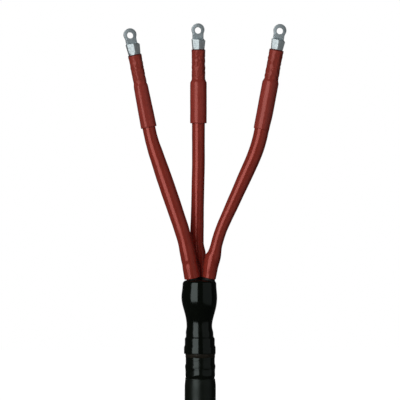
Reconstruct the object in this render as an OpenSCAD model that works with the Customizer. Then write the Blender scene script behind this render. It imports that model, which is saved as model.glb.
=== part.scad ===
// Three-core cable termination in heat-shrink tubing: a stub of armoured cable, a breakout boot,
// three insulated tails that spread apart, and a palm lug sealed on each of them.
// Z runs up the cable axis from the middle of the cable's cut end. The front is -Y. Sizes are in mm.

/* [Cores] */
// Diameter of the stranded conductor
conductor_d = 12.4; // [11.6:0.1:12.8]
// Insulation on the conductor, its inner screen included
insulation_t = 2.8; // [2.5:0.1:2.9]
// Black screen on the insulation
core_screen_t = 0.4; // [0.3:0.05:0.5]
// Copper tape on the core screen
copper_tape_t = 0.3; // [0.25:0.05:0.4]
// Gap between neighbouring cores in the cable
core_gap = 0.2; // [0.15:0.05:0.4]

/* [Cable] */
// Filler outside the laid-up cores
filler_t = 2; // [1.5:0.1:2.5]
// Wall of the bedding under the armour
bedding_t = 2; // [1.5:0.1:2.5]
// Diameter of one armour wire
armour_wire_d = 2.5; // [2:0.05:3.15]
// Gap between neighbouring armour wires
armour_gap = 0.1; // [0.05:0.05:0.3]
// Wall of the oversheath
oversheath_t = 3.7; // [3.2:0.1:4.5]
// Height of the cut edge of the oversheath
oversheath_top = 74; // [60:1:80]
// Tilt of that hand-made cut
oversheath_tilt = 3; // [0:0.5:5]
// Taper of the oversheath below that cut
oversheath_taper = 1.2; // [0.2:0.1:1.2]
// Length of that taper
oversheath_taper_len = 16; // [8:1:24]

/* [Binding tape] */
// Thickness of the tape on the bared armour
binding_t = 1.7; // [1.4:0.1:2.2]
// Height of the top of the tape, under the boot
binding_top = 134; // [131:1:138]
// Extra turn of tape between the oversheath and the ridge
binding_turn_t = 0.5; // [0:0.1:0.8]
// Height of the ridge that a binder makes under the tape
binding_ridge_z = 98; // [94:1:110]
// How far that ridge stands out
binding_ridge = 1.4; // [0:0.1:1.6]
// Height of the slope of the tape below and above the ridge, and above the cut of the oversheath
binding_slope = 6; // [4:0.5:8]

/* [Boot] */
// Wall of the breakout boot
boot_wall = 2.6; // [2:0.1:3]
// Height of the lower rim of the boot
boot_bottom = 125; // [118:1:128]
// Height of the flat top of the boot
boot_top = 270; // [266:1:272]
// Height of the narrowest place of the boot
boot_waist_z = 177; // [174:1:184]
// Height of the widest place of the boot
boot_bulge_z = 237; // [225:1:242]
// Widest diameter of the boot
boot_bulge_d = 70.8; // [69:0.2:74]
// Diameter at the foot of the rounded top edge
boot_crown_d = 66.8; // [66:0.2:68.8]
// Height and depth of the rounded top edge
boot_shoulder = [8, 9]; // [6:0.5:10]
// Wall of a finger of the boot
finger_wall = 2.3; // [1.8:0.1:2.4]
// Length of a finger above the foot of its red tube
finger_len = 40; // [32:1:44]
// Height of the top of the armour inside the boot
armour_top = 153; // [148:1:156]
// Height of the top of the bedding inside the boot
bedding_top = 164; // [160:1:168]

/* [Tail routes] */
// Left tail: lengths of the runs in cable, finger and middle, and up to the lug hole
left_run = [226, 50, 148.5, 191.5]; // [40:0.5:260]
// Left tail: lean of the runs after the cable
left_lean = [11.6, 19, 11.2]; // [0:0.1:26]
// Left tail: direction in which these runs lean
left_heading = [205, 172, 172]; // [0:1:360]
// Left tail: bend radii between the runs
left_bend = [200, 390, 330]; // [150:5:450]
// Centre tail: lengths of the runs
centre_run = [195, 92, 140, 264]; // [40:1:320]
// Centre tail: lean of the runs
centre_lean = [8.5, 2.5, 0]; // [0:0.1:26]
// Centre tail: direction in which these runs lean
centre_heading = [110, 300, 300]; // [0:1:360]
// Centre tail: bend radii between the runs
centre_bend = [200, 200, 300]; // [150:5:450]
// Right tail: lengths of the runs
right_run = [210, 80, 130, 201]; // [40:1:260]
// Right tail: lean of the runs
right_lean = [13, 24.5, 10.7]; // [0:0.1:26]
// Right tail: direction in which these runs lean
right_heading = [340, 6, 6]; // [0:1:360]
// Right tail: bend radii between the runs
right_bend = [200, 230, 290]; // [150:5:450]

/* [Layers on the tails] */
// Gap from the top of the boot to the foot of a red tube
foot_gap = 4; // [3.5:0.5:6]
// Copper tape carried into the middle run
copper_bare = 10; // [6:1:16]
// Core screen bared above the copper tape
screen_bare = 30; // [15:1:34]
// Wall of the stress-control tube
stress_t = 1.2; // [0.8:0.1:1.2]
// Length of the stress-control tube on the screen
stress_lap = 15; // [8:1:16]
// Length of the stress-control tube on the insulation
stress_len = 80; // [40:5:85]
// Sides of a red tube
tube_sides = 28; // [20:4:40]
// Step of a red tube along its route
tube_step = 8; // [6:1:12]

/* [Lugs] */
// Outer diameter of the barrel
barrel_d = 24.4; // [22:0.2:25]
// Round barrel from its mouth to its pressed end
barrel_len = 66.5; // [62:0.5:70]
// Depth of the conductor bore
barrel_bore = 58; // [50:1:60]
// Number of crimps on the barrel
crimp_n = 4; // [2:1:4]
// Distance from crimp to crimp
crimp_pitch = 15.5; // [13:0.5:16]
// Width of one crimp
crimp_w = 8; // [6:0.5:10]
// Depth of a crimp below the barrel
crimp_depth = 1; // [0.4:0.1:1.4]
// Length of the end of the barrel that is pressed to a hexagon
press_len = 19.5; // [16:0.5:24]
// Length over which the round barrel runs into that hexagon
press_lead = 1.5; // [1:0.5:4]
// Width of the hexagon across its corners
press_d = 27; // [25:0.2:28]
// How much wider its upper edge is pressed
press_widen = 3.4; // [2:0.2:6]
// Tilt of that edge down to the right
press_tilt = 6; // [0:1:8]
// Height of the slope from that edge to the palm
slope_h = 3; // [2:0.5:6]
// Thickness of the palm
palm_t = 7; // [5:0.5:8]
// Stand of the palm behind the back of the barrel
palm_stand = 0.3; // [0.1:0.1:1]
// Width of the neck of the palm
palm_neck_w = 22; // [20:0.5:24]
// Diameter of the round head of the palm
palm_head_d = 25.8; // [25:0.2:30]
// Middle of that head above the bolt hole
palm_head_rise = 1.2; // [0:0.1:2]
// Diameter of the bolt hole
palm_hole_d = 13; // [10.5:0.5:15]
// Bolt hole above the mouth of the barrel
palm_hole_z = 105.4; // [102:0.2:112]
// Turn of the left, centre and right palm to the right
lug_turn = [10, 6, 4]; // [0:1:20]

/* [Lug sleeves] */
// Length of the left, centre and right sleeve
sleeve_len = [147.5, 148, 162]; // [135:0.5:165]
// Top edge of these sleeves against the end of the round barrel
sleeve_top = [-2.2, 0, 0]; // [-6:0.1:0]
// Wall of these sleeves on the red tube
sleeve_t = [2.9, 3.7, 1.9]; // [1.8:0.1:4]
// How much narrower they are at the shoulder than at the lower end
sleeve_taper = [1.5, 0, 0]; // [0:0.1:1.6]
// Wall of the sleeves on the barrel
sleeve_barrel_t = [1.1, 1.3, 1.9]; // [1:0.1:2.2]
// Bared conductor between the insulation and the barrel
strip_gap = 6; // [3:0.5:8]
// Length of the shoulder where a sleeve draws in on the barrel
sleeve_shoulder = 14; // [8:1:20]
// Hollow of a sleeve over each crimp
sleeve_ripple = 0.6; // [0:0.1:0.8]
// Lip at the upper end of a sleeve
sleeve_lip = 0.5; // [0:0.1:0.8]
// Rounding of the lower end of a sleeve
sleeve_edge = 0.8; // [0.3:0.1:1.2]

/* [Hidden] */
$fn = 48;
over = 1;
rod_lap = 0.5;
rod_seam = 0.05;
rod_turn = 40;
bend_fn = 180;
rod_fn = 48;
slice = 0.1;
profile_step = 2;
tails = [0, 1, 2];

// radii of the layers of one core
conductor_r = conductor_d / 2;
insulation_r = conductor_r + insulation_t;
screen_r = insulation_r + core_screen_t;
core_r = screen_r + copper_tape_t;
finger_r = core_r + finger_wall;
stress_r = screen_r + stress_t;

// radii of the layers of the cable
lay_r = (core_r + core_gap / 2) / cos(30);
filler_r = lay_r + core_r + filler_t;
bedding_r = filler_r + bedding_t;
armour_r = bedding_r + armour_wire_d;
oversheath_r = armour_r + oversheath_t;
binding_r = armour_r + binding_t;
armour_ring_r = bedding_r + armour_wire_d / 2;
armour_n = floor(180 / asin((armour_wire_d + armour_gap) / 2 / armour_ring_r));

// tails in the order left, centre, right
lay_angle = [210, 90, 330];
run = [left_run, centre_run, right_run];
lean = [left_lean, centre_lean, right_lean];
heading = [left_heading, centre_heading, right_heading];
bend = [left_bend, centre_bend, right_bend];

// build of each red tube over the insulation, at distances above its foot
tube_build = [
    [[0, 7], [20, 6.8], [37, 6.4], [49, 7.2], [75, 5.5], [105, 6.2], [175, 6.8], [210, 6.6],
     [258, 5.6], [285, 4.6], [300, 4.1]],
    [[0, 4.2], [30, 4.8], [46, 6.2], [72, 5], [100, 4.6], [126, 4.1], [150, 3.9], [200, 3.9], [290, 4]],
    [[0, 4.4], [21, 4.3], [44, 5], [68, 2.8], [100, 2.8], [120, 3.2], [172, 4.2], [230, 5.3], [285, 5.7]]
];

// stations along a tail: foot of the red tube, ends of the layers, mouth of the lug barrel
function foot_s(i) = leg_s(i, 1) + (boot_top + foot_gap - leg_p(i, 1)[2]) / cos(lean[i][0]);
function finger_s(i) = foot_s(i) + finger_len;
function copper_s(i) = leg_s(i, 2) + copper_bare;
function screen_s(i) = copper_s(i) + screen_bare;
function hole_s(i) = leg_s(i, 3) + run[i][3];
function barrel_s(i) = hole_s(i) - palm_hole_z;
function strip_s(i) = barrel_s(i) - strip_gap;
function sleeve_top_s(i) = barrel_s(i) + barrel_len + sleeve_top[i];
function sleeve_s(i) = sleeve_top_s(i) - sleeve_len[i];

// route of a tail: legs 0 to 3 are straight, with a true bend after each of the first three
function dir(l, h) = [sin(l) * cos(h), sin(l) * sin(h), cos(l)];
function leg_dir(i, k) = k == 0 ? [0, 0, 1] : dir(lean[i][k - 1], heading[i][k - 1]);
function bend_angle(i, k) = acos(min(1, leg_dir(i, k) * leg_dir(i, k + 1)));
function bend_axis(i, k) = let (w = cross(leg_dir(i, k), leg_dir(i, k + 1))) w / norm(w);
function bend_len(i, k) = bend[i][k] * bend_angle(i, k) * PI / 180;
function leg_s(i, k) = k == 0 ? 0 : leg_s(i, k - 1) + run[i][k - 1] + bend_len(i, k - 1);
function leg_p(i, k) = k == 0
    ? lay_r * [cos(lay_angle[i]), sin(lay_angle[i]), 0]
    : bend_p(i, k - 1, bend_angle(i, k - 1));
function leg_end(i, k) = leg_p(i, k) + run[i][k] * leg_dir(i, k);
function bend_side(i, k) = cross(bend_axis(i, k), leg_dir(i, k));
function bend_c(i, k) = leg_end(i, k) + bend[i][k] * bend_side(i, k);
function bend_dir(i, k, a) = leg_dir(i, k) * cos(a) + bend_side(i, k) * sin(a);
function bend_p(i, k, a) = bend_c(i, k) - bend[i][k] * cross(bend_axis(i, k), bend_dir(i, k, a));
function leg_at(i, s) = s < leg_s(i, 1) ? 0 : s < leg_s(i, 2) ? 1 : s < leg_s(i, 3) ? 2 : 3;
function turn_at(i, k, s) = (s - leg_s(i, k) - run[i][k]) / bend[i][k] * 180 / PI;
function in_bend(i, k, s) = k < 3 && s > leg_s(i, k) + run[i][k];
function route_p(i, s) = let (k = leg_at(i, s)) in_bend(i, k, s)
    ? bend_p(i, k, turn_at(i, k, s))
    : leg_p(i, k) + (s - leg_s(i, k)) * leg_dir(i, k);
function route_dir(i, s) = let (k = leg_at(i, s)) in_bend(i, k, s)
    ? bend_dir(i, k, turn_at(i, k, s))
    : leg_dir(i, k);

// smooth value at x between [place, value] pairs
function eased(list, x, k = 0) =
    x <= list[0][0] ? list[0][1]
    : k >= len(list) - 1 ? list[len(list) - 1][1]
    : x > list[k + 1][0] ? eased(list, x, k + 1)
    : list[k][1] + (list[k + 1][1] - list[k][1])
        * (1 - cos(180 * (x - list[k][0]) / (list[k + 1][0] - list[k][0]))) / 2;

function tube_r(i, s) = insulation_r + eased(tube_build[i], s - foot_s(i));
function tube_top_r(i) = tube_r(i, strip_s(i));

// solid rod of radius r along a tail between two stations: each straight run reaches a little way
// into its bends, and the bends are a hair thicker
module rod(i, from, to, r) {
    for (k = [0:3]) {
        leg_from = leg_s(i, k);
        leg_to = leg_from + run[i][k];
        if ((k == 0 || to > leg_from) && (k == 3 || from < leg_to)) {
            a = k == 0 ? from : max(from, leg_from - rod_lap);
            b = k == 3 ? to : min(to, leg_to + rod_lap);
            translate(leg_p(i, k) + (a - leg_from) * leg_dir(i, k))
                rotate([0, k == 0 ? 0 : lean[i][k - 1], k == 0 ? 0 : heading[i][k - 1]])
                    rotate([0, 0, rod_turn])
                        cylinder(r = r, h = b - a);
        }
        if (k < 3 && to > leg_to && from < leg_s(i, k + 1)) {
            a = turn_at(i, k, max(from, leg_to));
            b = turn_at(i, k, min(to, leg_s(i, k + 1)));
            bend_rod(i, k, a, b, r + rod_seam);
        }
    }
}

module bend_rod(i, k, a, b, r) {
    x = -bend_side(i, k);
    y = leg_dir(i, k);
    z = bend_axis(i, k);
    c = bend_c(i, k);
    multmatrix([for (j = [0:2]) [x[j], y[j], z[j], c[j]]])
        rotate([0, 0, a])
            rotate_extrude(angle = b - a, $fn = bend_fn)
                translate([bend[i][k], 0])
                    circle(r = r, $fn = rod_fn);
}

// layer along a tail
module layer(i, from, to, inner_r, outer_r) {
    difference() {
        rod(i, from, to, outer_r);
        rod(i, from - over, to + over, inner_r);
    }
}

// places its children at the mouth of a lug barrel, turned as the lug is
module at_barrel(i) {
    l = lean[i][2];
    h = heading[i][2];
    translate(route_p(i, barrel_s(i)))
        rotate([0, l, h])
            rotate([0, 0, lug_turn[i] - h])
                children();
}

// Cable

module oversheath() {
    color([0.05, 0.05, 0.05])
        difference() {
            rotate_extrude()
                polygon([
                    [armour_r, 0],
                    [oversheath_r, 0],
                    [oversheath_r, oversheath_top - oversheath_taper_len],
                    [oversheath_r - oversheath_taper, oversheath_top],
                    [oversheath_r - oversheath_taper, oversheath_top + oversheath_taper_len],
                    [armour_r, oversheath_top + oversheath_taper_len]
                ]);
            above_cut();
        }
}

// space above the tilted cut of the oversheath
module above_cut() {
    translate([0, 0, oversheath_top])
        rotate([oversheath_tilt, oversheath_tilt, 0])
            translate([-2 * oversheath_r, -2 * oversheath_r, 0])
                cube([4 * oversheath_r, 4 * oversheath_r, 2 * oversheath_r]);
}

module armour_wires() {
    color([0.6, 0.62, 0.64])
        for (k = [0:armour_n - 1])
            rotate([0, 0, k * 360 / armour_n])
                translate([armour_ring_r, 0, 0])
                    cylinder(d = armour_wire_d, h = armour_top, $fn = 16);
}

module bedding() {
    color([0.12, 0.12, 0.12])
        difference() {
            cylinder(r = bedding_r, h = bedding_top);
            translate([0, 0, -over])
                cylinder(r = filler_r, h = bedding_top + 2 * over);
        }
}

module core_filler() {
    color([0.75, 0.73, 0.66])
        difference() {
            cylinder(r = filler_r, h = bedding_top);
            for (i = tails)
                rod(i, -over, bedding_top + over, core_r);
        }
}

module binding_tape() {
    build = [
        [oversheath_top, binding_t],
        [oversheath_top + binding_slope, binding_t + 1.5 * binding_turn_t],
        [oversheath_top + 2 * binding_slope, binding_t + binding_turn_t],
        [binding_ridge_z - binding_slope, binding_t + binding_turn_t],
        [binding_ridge_z, binding_t + binding_ridge],
        [binding_ridge_z + binding_slope, binding_t],
        [binding_top, binding_t]
    ];
    low = oversheath_top - oversheath_taper_len / 2;
    color([0.04, 0.04, 0.04])
        intersection() {
            rotate_extrude()
                polygon(concat(
                    [[armour_r, low]],
                    [for (z = [low:profile_step:boot_bottom - over]) [armour_r + eased(build, z), z]],
                    [[binding_r, boot_bottom - over], [binding_r, binding_top], [armour_r, binding_top]]
                ));
            above_cut();
        }
}

// Boot

boot_crown_z = boot_top - boot_shoulder[0];
boot_step = [1, 5];
boot_stations = [
    [boot_bottom, binding_r + boot_wall],
    [binding_top - boot_step[0], binding_r + boot_wall],
    [binding_top + boot_step[1], armour_r + boot_wall],
    [armour_top - boot_step[0], armour_r + boot_wall],
    [armour_top + boot_step[1], bedding_r + boot_wall],
    [bedding_top, bedding_r + boot_wall],
    [boot_waist_z, filler_r + boot_wall],
    [boot_bulge_z, boot_bulge_d / 2],
    [boot_crown_z, boot_crown_d / 2]
];
boot_rise = 3;
finger_root = 3.5;

// side line of the boot between two heights, drawn in by the wall w, with its rounded top edge
function boot_side(from, w) = concat(
    [for (z = [from:boot_rise:boot_crown_z - boot_rise / 2]) [eased(boot_stations, z) - w, z]],
    [for (a = [0:10:90]) [
        boot_crown_d / 2 - boot_shoulder[1] + (boot_shoulder[1] - w) * cos(a),
        boot_crown_z + (boot_shoulder[0] - w) * sin(a)
    ]]
);

module boot_inside() {
    rotate_extrude()
        polygon(concat(
            [[0, bedding_top]],
            boot_side(bedding_top, boot_wall),
            [[0, boot_top - boot_wall]]
        ));
}

module breakout_boot() {
    color([0.04, 0.045, 0.04])
        difference() {
            union() {
                rotate_extrude()
                    polygon(concat([[0, boot_bottom]], boot_side(boot_bottom, 0), [[0, boot_top]]));
                for (i = tails)
                    rod(i, foot_s(i) - foot_gap - finger_root, finger_s(i), finger_r);
            }
            rotate_extrude()
                polygon([
                    [0, boot_bottom - over],
                    [binding_r, boot_bottom - over],
                    [binding_r, binding_top],
                    [armour_r, binding_top],
                    [armour_r, armour_top],
                    [bedding_r, armour_top],
                    [bedding_r, bedding_top],
                    [0, bedding_top]
                ]);
            boot_inside();
            for (i = tails)
                rod(i, bedding_top, finger_s(i) + over, core_r);
        }
}

module boot_mastic() {
    color([0.3, 0.3, 0.28])
        difference() {
            boot_inside();
            for (i = tails)
                rod(i, bedding_top - over, foot_s(i), core_r);
        }
}

// Layers on each core

module conductor(i) {
    color([0.72, 0.45, 0.25])
        rod(i, 0, barrel_s(i) + barrel_bore - over, conductor_r);
}

module insulation(i) {
    color([0.9, 0.89, 0.85])
        layer(i, 0, strip_s(i), conductor_r, insulation_r);
}

module core_screen(i) {
    color([0.08, 0.08, 0.08])
        layer(i, 0, screen_s(i), insulation_r, screen_r);
}

module copper_tape(i) {
    color([0.75, 0.42, 0.25])
        layer(i, 0, copper_s(i), screen_r, core_r);
}

module stress_tube(i) {
    color([0.1, 0.1, 0.1])
        difference() {
            rod(i, screen_s(i) - stress_lap, screen_s(i) + stress_len, stress_r);
            rod(i, screen_s(i) - stress_lap - over, screen_s(i), screen_r);
            rod(i, screen_s(i) - stress_lap - over, screen_s(i) + stress_len + over, insulation_r);
        }
}

// outside of a red tube as rings along its route
module tube_outside(i) {
    n = ceil((strip_s(i) - foot_s(i)) / tube_step);
    stations = [for (k = [0:n]) foot_s(i) + (strip_s(i) - foot_s(i)) * k / n];
    points = [
        for (s = stations)
            let (t = route_dir(i, s), side = cross([0, 1, 0], t), x = side / norm(side), y = cross(t, x))
                for (j = [0:tube_sides - 1])
                    let (a = 360 * j / tube_sides)
                        route_p(i, s) + tube_r(i, s) * (cos(a) * x + sin(a) * y)
    ];
    sides = [
        for (k = [0:n - 1])
            for (j = [0:tube_sides - 1])
                let (a = k * tube_sides + j, b = k * tube_sides + (j + 1) % tube_sides)
                    each [[a, a + tube_sides, b + tube_sides], [a, b + tube_sides, b]]
    ];
    last = n * tube_sides;
    bottom = [for (j = [1:tube_sides - 2]) [0, j, j + 1]];
    top = [for (j = [1:tube_sides - 2]) [last, last + j + 1, last + j]];
    polyhedron(points, concat(bottom, sides, top));
}

module red_tube(i) {
    color([0.6, 0.16, 0.12])
        difference() {
            tube_outside(i);
            rod(i, foot_s(i) - over, finger_s(i), finger_r);
            rod(i, foot_s(i) - over, copper_s(i), core_r);
            rod(i, foot_s(i) - over, screen_s(i), screen_r);
            rod(i, screen_s(i) - stress_lap, screen_s(i) + stress_len, stress_r);
            rod(i, foot_s(i) - over, strip_s(i) + over, insulation_r);
        }
}

// Lugs and their seals

barrel_r = barrel_d / 2;
crease_z = barrel_len + press_len;
palm_z = crease_z + slope_h;
palm_back = barrel_r + palm_stand;
palm_front = palm_back - palm_t;

module barrel(length) {
    difference() {
        cylinder(r = barrel_r, h = length);
        for (k = [0:crimp_n - 1])
            translate([0, 0, (k + 0.5) * crimp_pitch - crimp_w / 2])
                difference() {
                    cylinder(r = barrel_r + over, h = crimp_w);
                    translate([0, 0, -over])
                        cylinder(r = (barrel_r - crimp_depth) / cos(30), h = crimp_w + 2 * over, $fn = 6);
                }
    }
}

// thin hexagon with a corner at the front
module hexagon() {
    rotate([0, 0, 30])
        cylinder(d = press_d, h = slice, $fn = 6);
}

// upper edge of the pressed end, wider and tilted
module pressed_edge() {
    translate([0, 0, crease_z])
        rotate([0, press_tilt, 0])
            for (x = [-1, 1])
                translate([x * press_widen / 2, 0, 0])
                    hexagon();
}

// pressed end of the barrel, flat at the back as the palm is
module pressed_end() {
    reach = 2 * press_d;
    intersection() {
        union() {
            hull() {
                translate([0, 0, barrel_len - slice])
                    cylinder(r = barrel_r, h = slice);
                translate([0, 0, barrel_len + press_lead])
                    hexagon();
            }
            hull() {
                translate([0, 0, barrel_len + press_lead])
                    hexagon();
                pressed_edge();
            }
            hull() {
                pressed_edge();
                translate([-palm_neck_w / 2, palm_front, palm_z - slice])
                    cube([palm_neck_w, barrel_r - palm_front, slice]);
            }
        }
        translate([-reach / 2, barrel_r - reach, 0])
            cube([reach, reach, palm_z]);
    }
}

module palm() {
    translate([0, palm_back, 0])
        rotate([90, 0, 0])
            linear_extrude(palm_t) {
                translate([0, palm_hole_z + palm_head_rise])
                    circle(d = palm_head_d);
                translate([-palm_neck_w / 2, palm_z - slice])
                    square([palm_neck_w, palm_hole_z - palm_z + slice]);
            }
}

module lug(i) {
    color([0.72, 0.74, 0.76])
        at_barrel(i)
            difference() {
                union() {
                    barrel(barrel_len);
                    pressed_end();
                    palm();
                }
                translate([0, 0, -over])
                    cylinder(r = conductor_r, h = barrel_bore + over);
                translate([0, palm_back + over, palm_hole_z])
                    rotate([90, 0, 0])
                        cylinder(d = palm_hole_d, h = palm_t + 2 * over);
            }
}

module lug_mastic(i) {
    color([0.45, 0.1, 0.08])
        layer(i, strip_s(i), barrel_s(i), conductor_r, tube_top_r(i));
}

// outer radius of a sleeve at height z above the mouth of the barrel, its shoulder mostly on the barrel
shoulder_z = [-0.3 * sleeve_shoulder, 0.7 * sleeve_shoulder];
lip_z = [-8, -2];
function sleeve_high(i) = barrel_len + sleeve_top[i];
function sleeve_low(i) = sleeve_high(i) - sleeve_len[i];
function sleeve_r(i, z) =
    let (up = min(1, (z - sleeve_low(i)) / (shoulder_z[0] - sleeve_low(i))))
    let (wide = tube_top_r(i) + sleeve_t[i] - sleeve_taper[i] * up, narrow = barrel_r + sleeve_barrel_t[i])
    let (on_barrel = eased([[shoulder_z[0], 0], [shoulder_z[1], 1]], z))
    let (lip = eased([[lip_z[0], 0], [lip_z[1], 1]], z - sleeve_high(i)))
    wide + (narrow - wide) * on_barrel
        - sleeve_ripple * on_barrel * (1 - lip) * (1 - cos(360 * z / crimp_pitch)) / 2
        + sleeve_lip * lip;

module lug_sleeve(i) {
    low = sleeve_low(i);
    high = sleeve_high(i);
    low_r = sleeve_r(i, low);
    color([0.58, 0.15, 0.11])
        difference() {
            at_barrel(i)
                rotate_extrude()
                    polygon(concat(
                        [[0, low], [low_r - sleeve_edge, low]],
                        [[low_r, low + sleeve_edge], [sleeve_r(i, shoulder_z[0]), shoulder_z[0]]],
                        [for (z = [shoulder_z[0] + over:profile_step:high - over]) [sleeve_r(i, z), z]],
                        [[sleeve_r(i, high), high], [0, high]]
                    ));
            rod(i, sleeve_s(i) - over, barrel_s(i), tube_top_r(i));
            at_barrel(i)
                barrel(barrel_len + over);
        }
}

oversheath();
armour_wires();
bedding();
core_filler();
binding_tape();
breakout_boot();
boot_mastic();
conductor(0);  // conductor_left
conductor(1);  // conductor_centre
conductor(2);  // conductor_right
insulation(0);  // insulation_left
insulation(1);  // insulation_centre
insulation(2);  // insulation_right
core_screen(0);  // core_screen_left
core_screen(1);  // core_screen_centre
core_screen(2);  // core_screen_right
copper_tape(0);  // copper_tape_left
copper_tape(1);  // copper_tape_centre
copper_tape(2);  // copper_tape_right
stress_tube(0);  // stress_tube_left
stress_tube(1);  // stress_tube_centre
stress_tube(2);  // stress_tube_right
red_tube(0);  // red_tube_left
red_tube(1);  // red_tube_centre
red_tube(2);  // red_tube_right
lug_mastic(0);  // lug_mastic_left
lug_mastic(1);  // lug_mastic_centre
lug_mastic(2);  // lug_mastic_right
lug_sleeve(0);  // lug_sleeve_left
lug_sleeve(1);  // lug_sleeve_centre
lug_sleeve(2);  // lug_sleeve_right
lug(0);  // lug_left
lug(1);  // lug_centre
lug(2);  // lug_right
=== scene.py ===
from collections import namedtuple
from math import acos, atan, ceil, cos, exp, pi, radians, sin

import bmesh
import bpy
from mathutils import Matrix, Vector, noise


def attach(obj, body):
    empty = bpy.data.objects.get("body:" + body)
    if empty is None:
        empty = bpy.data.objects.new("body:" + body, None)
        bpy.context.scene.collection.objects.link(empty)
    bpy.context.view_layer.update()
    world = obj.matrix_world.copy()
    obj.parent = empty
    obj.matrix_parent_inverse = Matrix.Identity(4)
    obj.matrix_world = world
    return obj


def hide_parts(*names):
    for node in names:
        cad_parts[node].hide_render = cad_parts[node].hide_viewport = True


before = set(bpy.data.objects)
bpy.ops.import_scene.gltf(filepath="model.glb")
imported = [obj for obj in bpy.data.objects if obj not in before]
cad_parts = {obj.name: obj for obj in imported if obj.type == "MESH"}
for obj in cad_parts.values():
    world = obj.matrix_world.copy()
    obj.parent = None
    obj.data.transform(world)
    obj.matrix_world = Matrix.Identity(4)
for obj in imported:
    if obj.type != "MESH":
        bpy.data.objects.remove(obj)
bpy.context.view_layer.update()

# Sizes of the part are in mm, in the frame of the CAD part, and become metres where a mesh is made.
# A wave is a pair: the height of an unevenness and the size of its features. A rounded edge is a list of
# pairs: how far in from the surface and how far along it.
MM = 0.001
TINY = 1e-6
EDGE_ROUND = [(1, 0), (0.3, 0.3), (0, 1)]

# Layers of the cable and its cores
INSULATION_R = 9.0
CORE_R = 9.7
STRESS_R = 10.6
BEND_SEAM = 0.05
FINGER_R = 12.0
LAY_R = 9.8 / cos(radians(30))
FILLER_R = LAY_R + CORE_R + 2
BEDDING_R = FILLER_R + 2
ARMOUR_R = BEDDING_R + 2.5
SHEATH_R = ARMOUR_R + 3.7
TAPE_T = 1.7
TAPE_R = ARMOUR_R + TAPE_T

# Heights along the cable
SHEATH_TOP = 74
TAPE_TOP = 134
ARMOUR_TOP = 153
BEDDING_TOP = 164
BOOT_RIM = 122.6
BOOT_TOP = 270
BOOT_WALL = 2.6

# Ends of the layers along a tail
FOOT_GAP = 4
FINGER_LEN = 40
COPPER_BARE = 10
SCREEN_BARE = 30
STRESS_BELOW, STRESS_ABOVE = 15, 80
STRIP_GAP = 6

# Lugs, from the mouth of the barrel upward
BARREL_R = 12.2
BARREL_LEN = 66.5
CRIMP_PITCH = 15.5
CREASE_Z = 86
PALM_Z = 89
PALM_T = 7
PALM_BACK = BARREL_R + 0.3
PALM_FRONT = PALM_BACK - PALM_T
HOLE_Z = 105.4
HOLE_R = 6.5


def eased(pairs, x):
    """Smooth value at x between (place, value) pairs."""
    if x <= pairs[0][0]:
        return pairs[0][1]
    for (x0, v0), (x1, v1) in zip(pairs, pairs[1:]):
        if x <= x1:
            return v0 + (v1 - v0) * (1 - cos(pi * (x - x0) / (x1 - x0))) / 2
    return pairs[-1][1]


def spread(start, end, step):
    """Even places from start to end, no further apart than step."""
    n = max(1, ceil(abs(end - start) / step))
    return [start + (end - start) * k / n for k in range(n + 1)]


def turns(count):
    """Even angles round a full turn."""
    return [2 * pi * j / count for j in range(count)]


def ripple(point, wave, seed):
    """Smooth unevenness at a point."""
    height, size = wave
    return height * noise.noise(Vector((point[0] / size + seed, point[1] / size, point[2] / size)))


def valued(length, a):
    """Length at the angle a; it is a number or a function of the angle."""
    return length(a) if callable(length) else length


# Tails

# Heights of a sleeve's lower and upper end above the mouth of the barrel, its outer radius at the lower
# end, at the shoulder and on the barrel, the angle and height of the ridge that the shrinking left, and
# how far its foot is drawn in on the right
Sleeve = namedtuple("Sleeve", "low high low_r shoulder_r barrel_r ridge_a ridge_h tuck")


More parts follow.
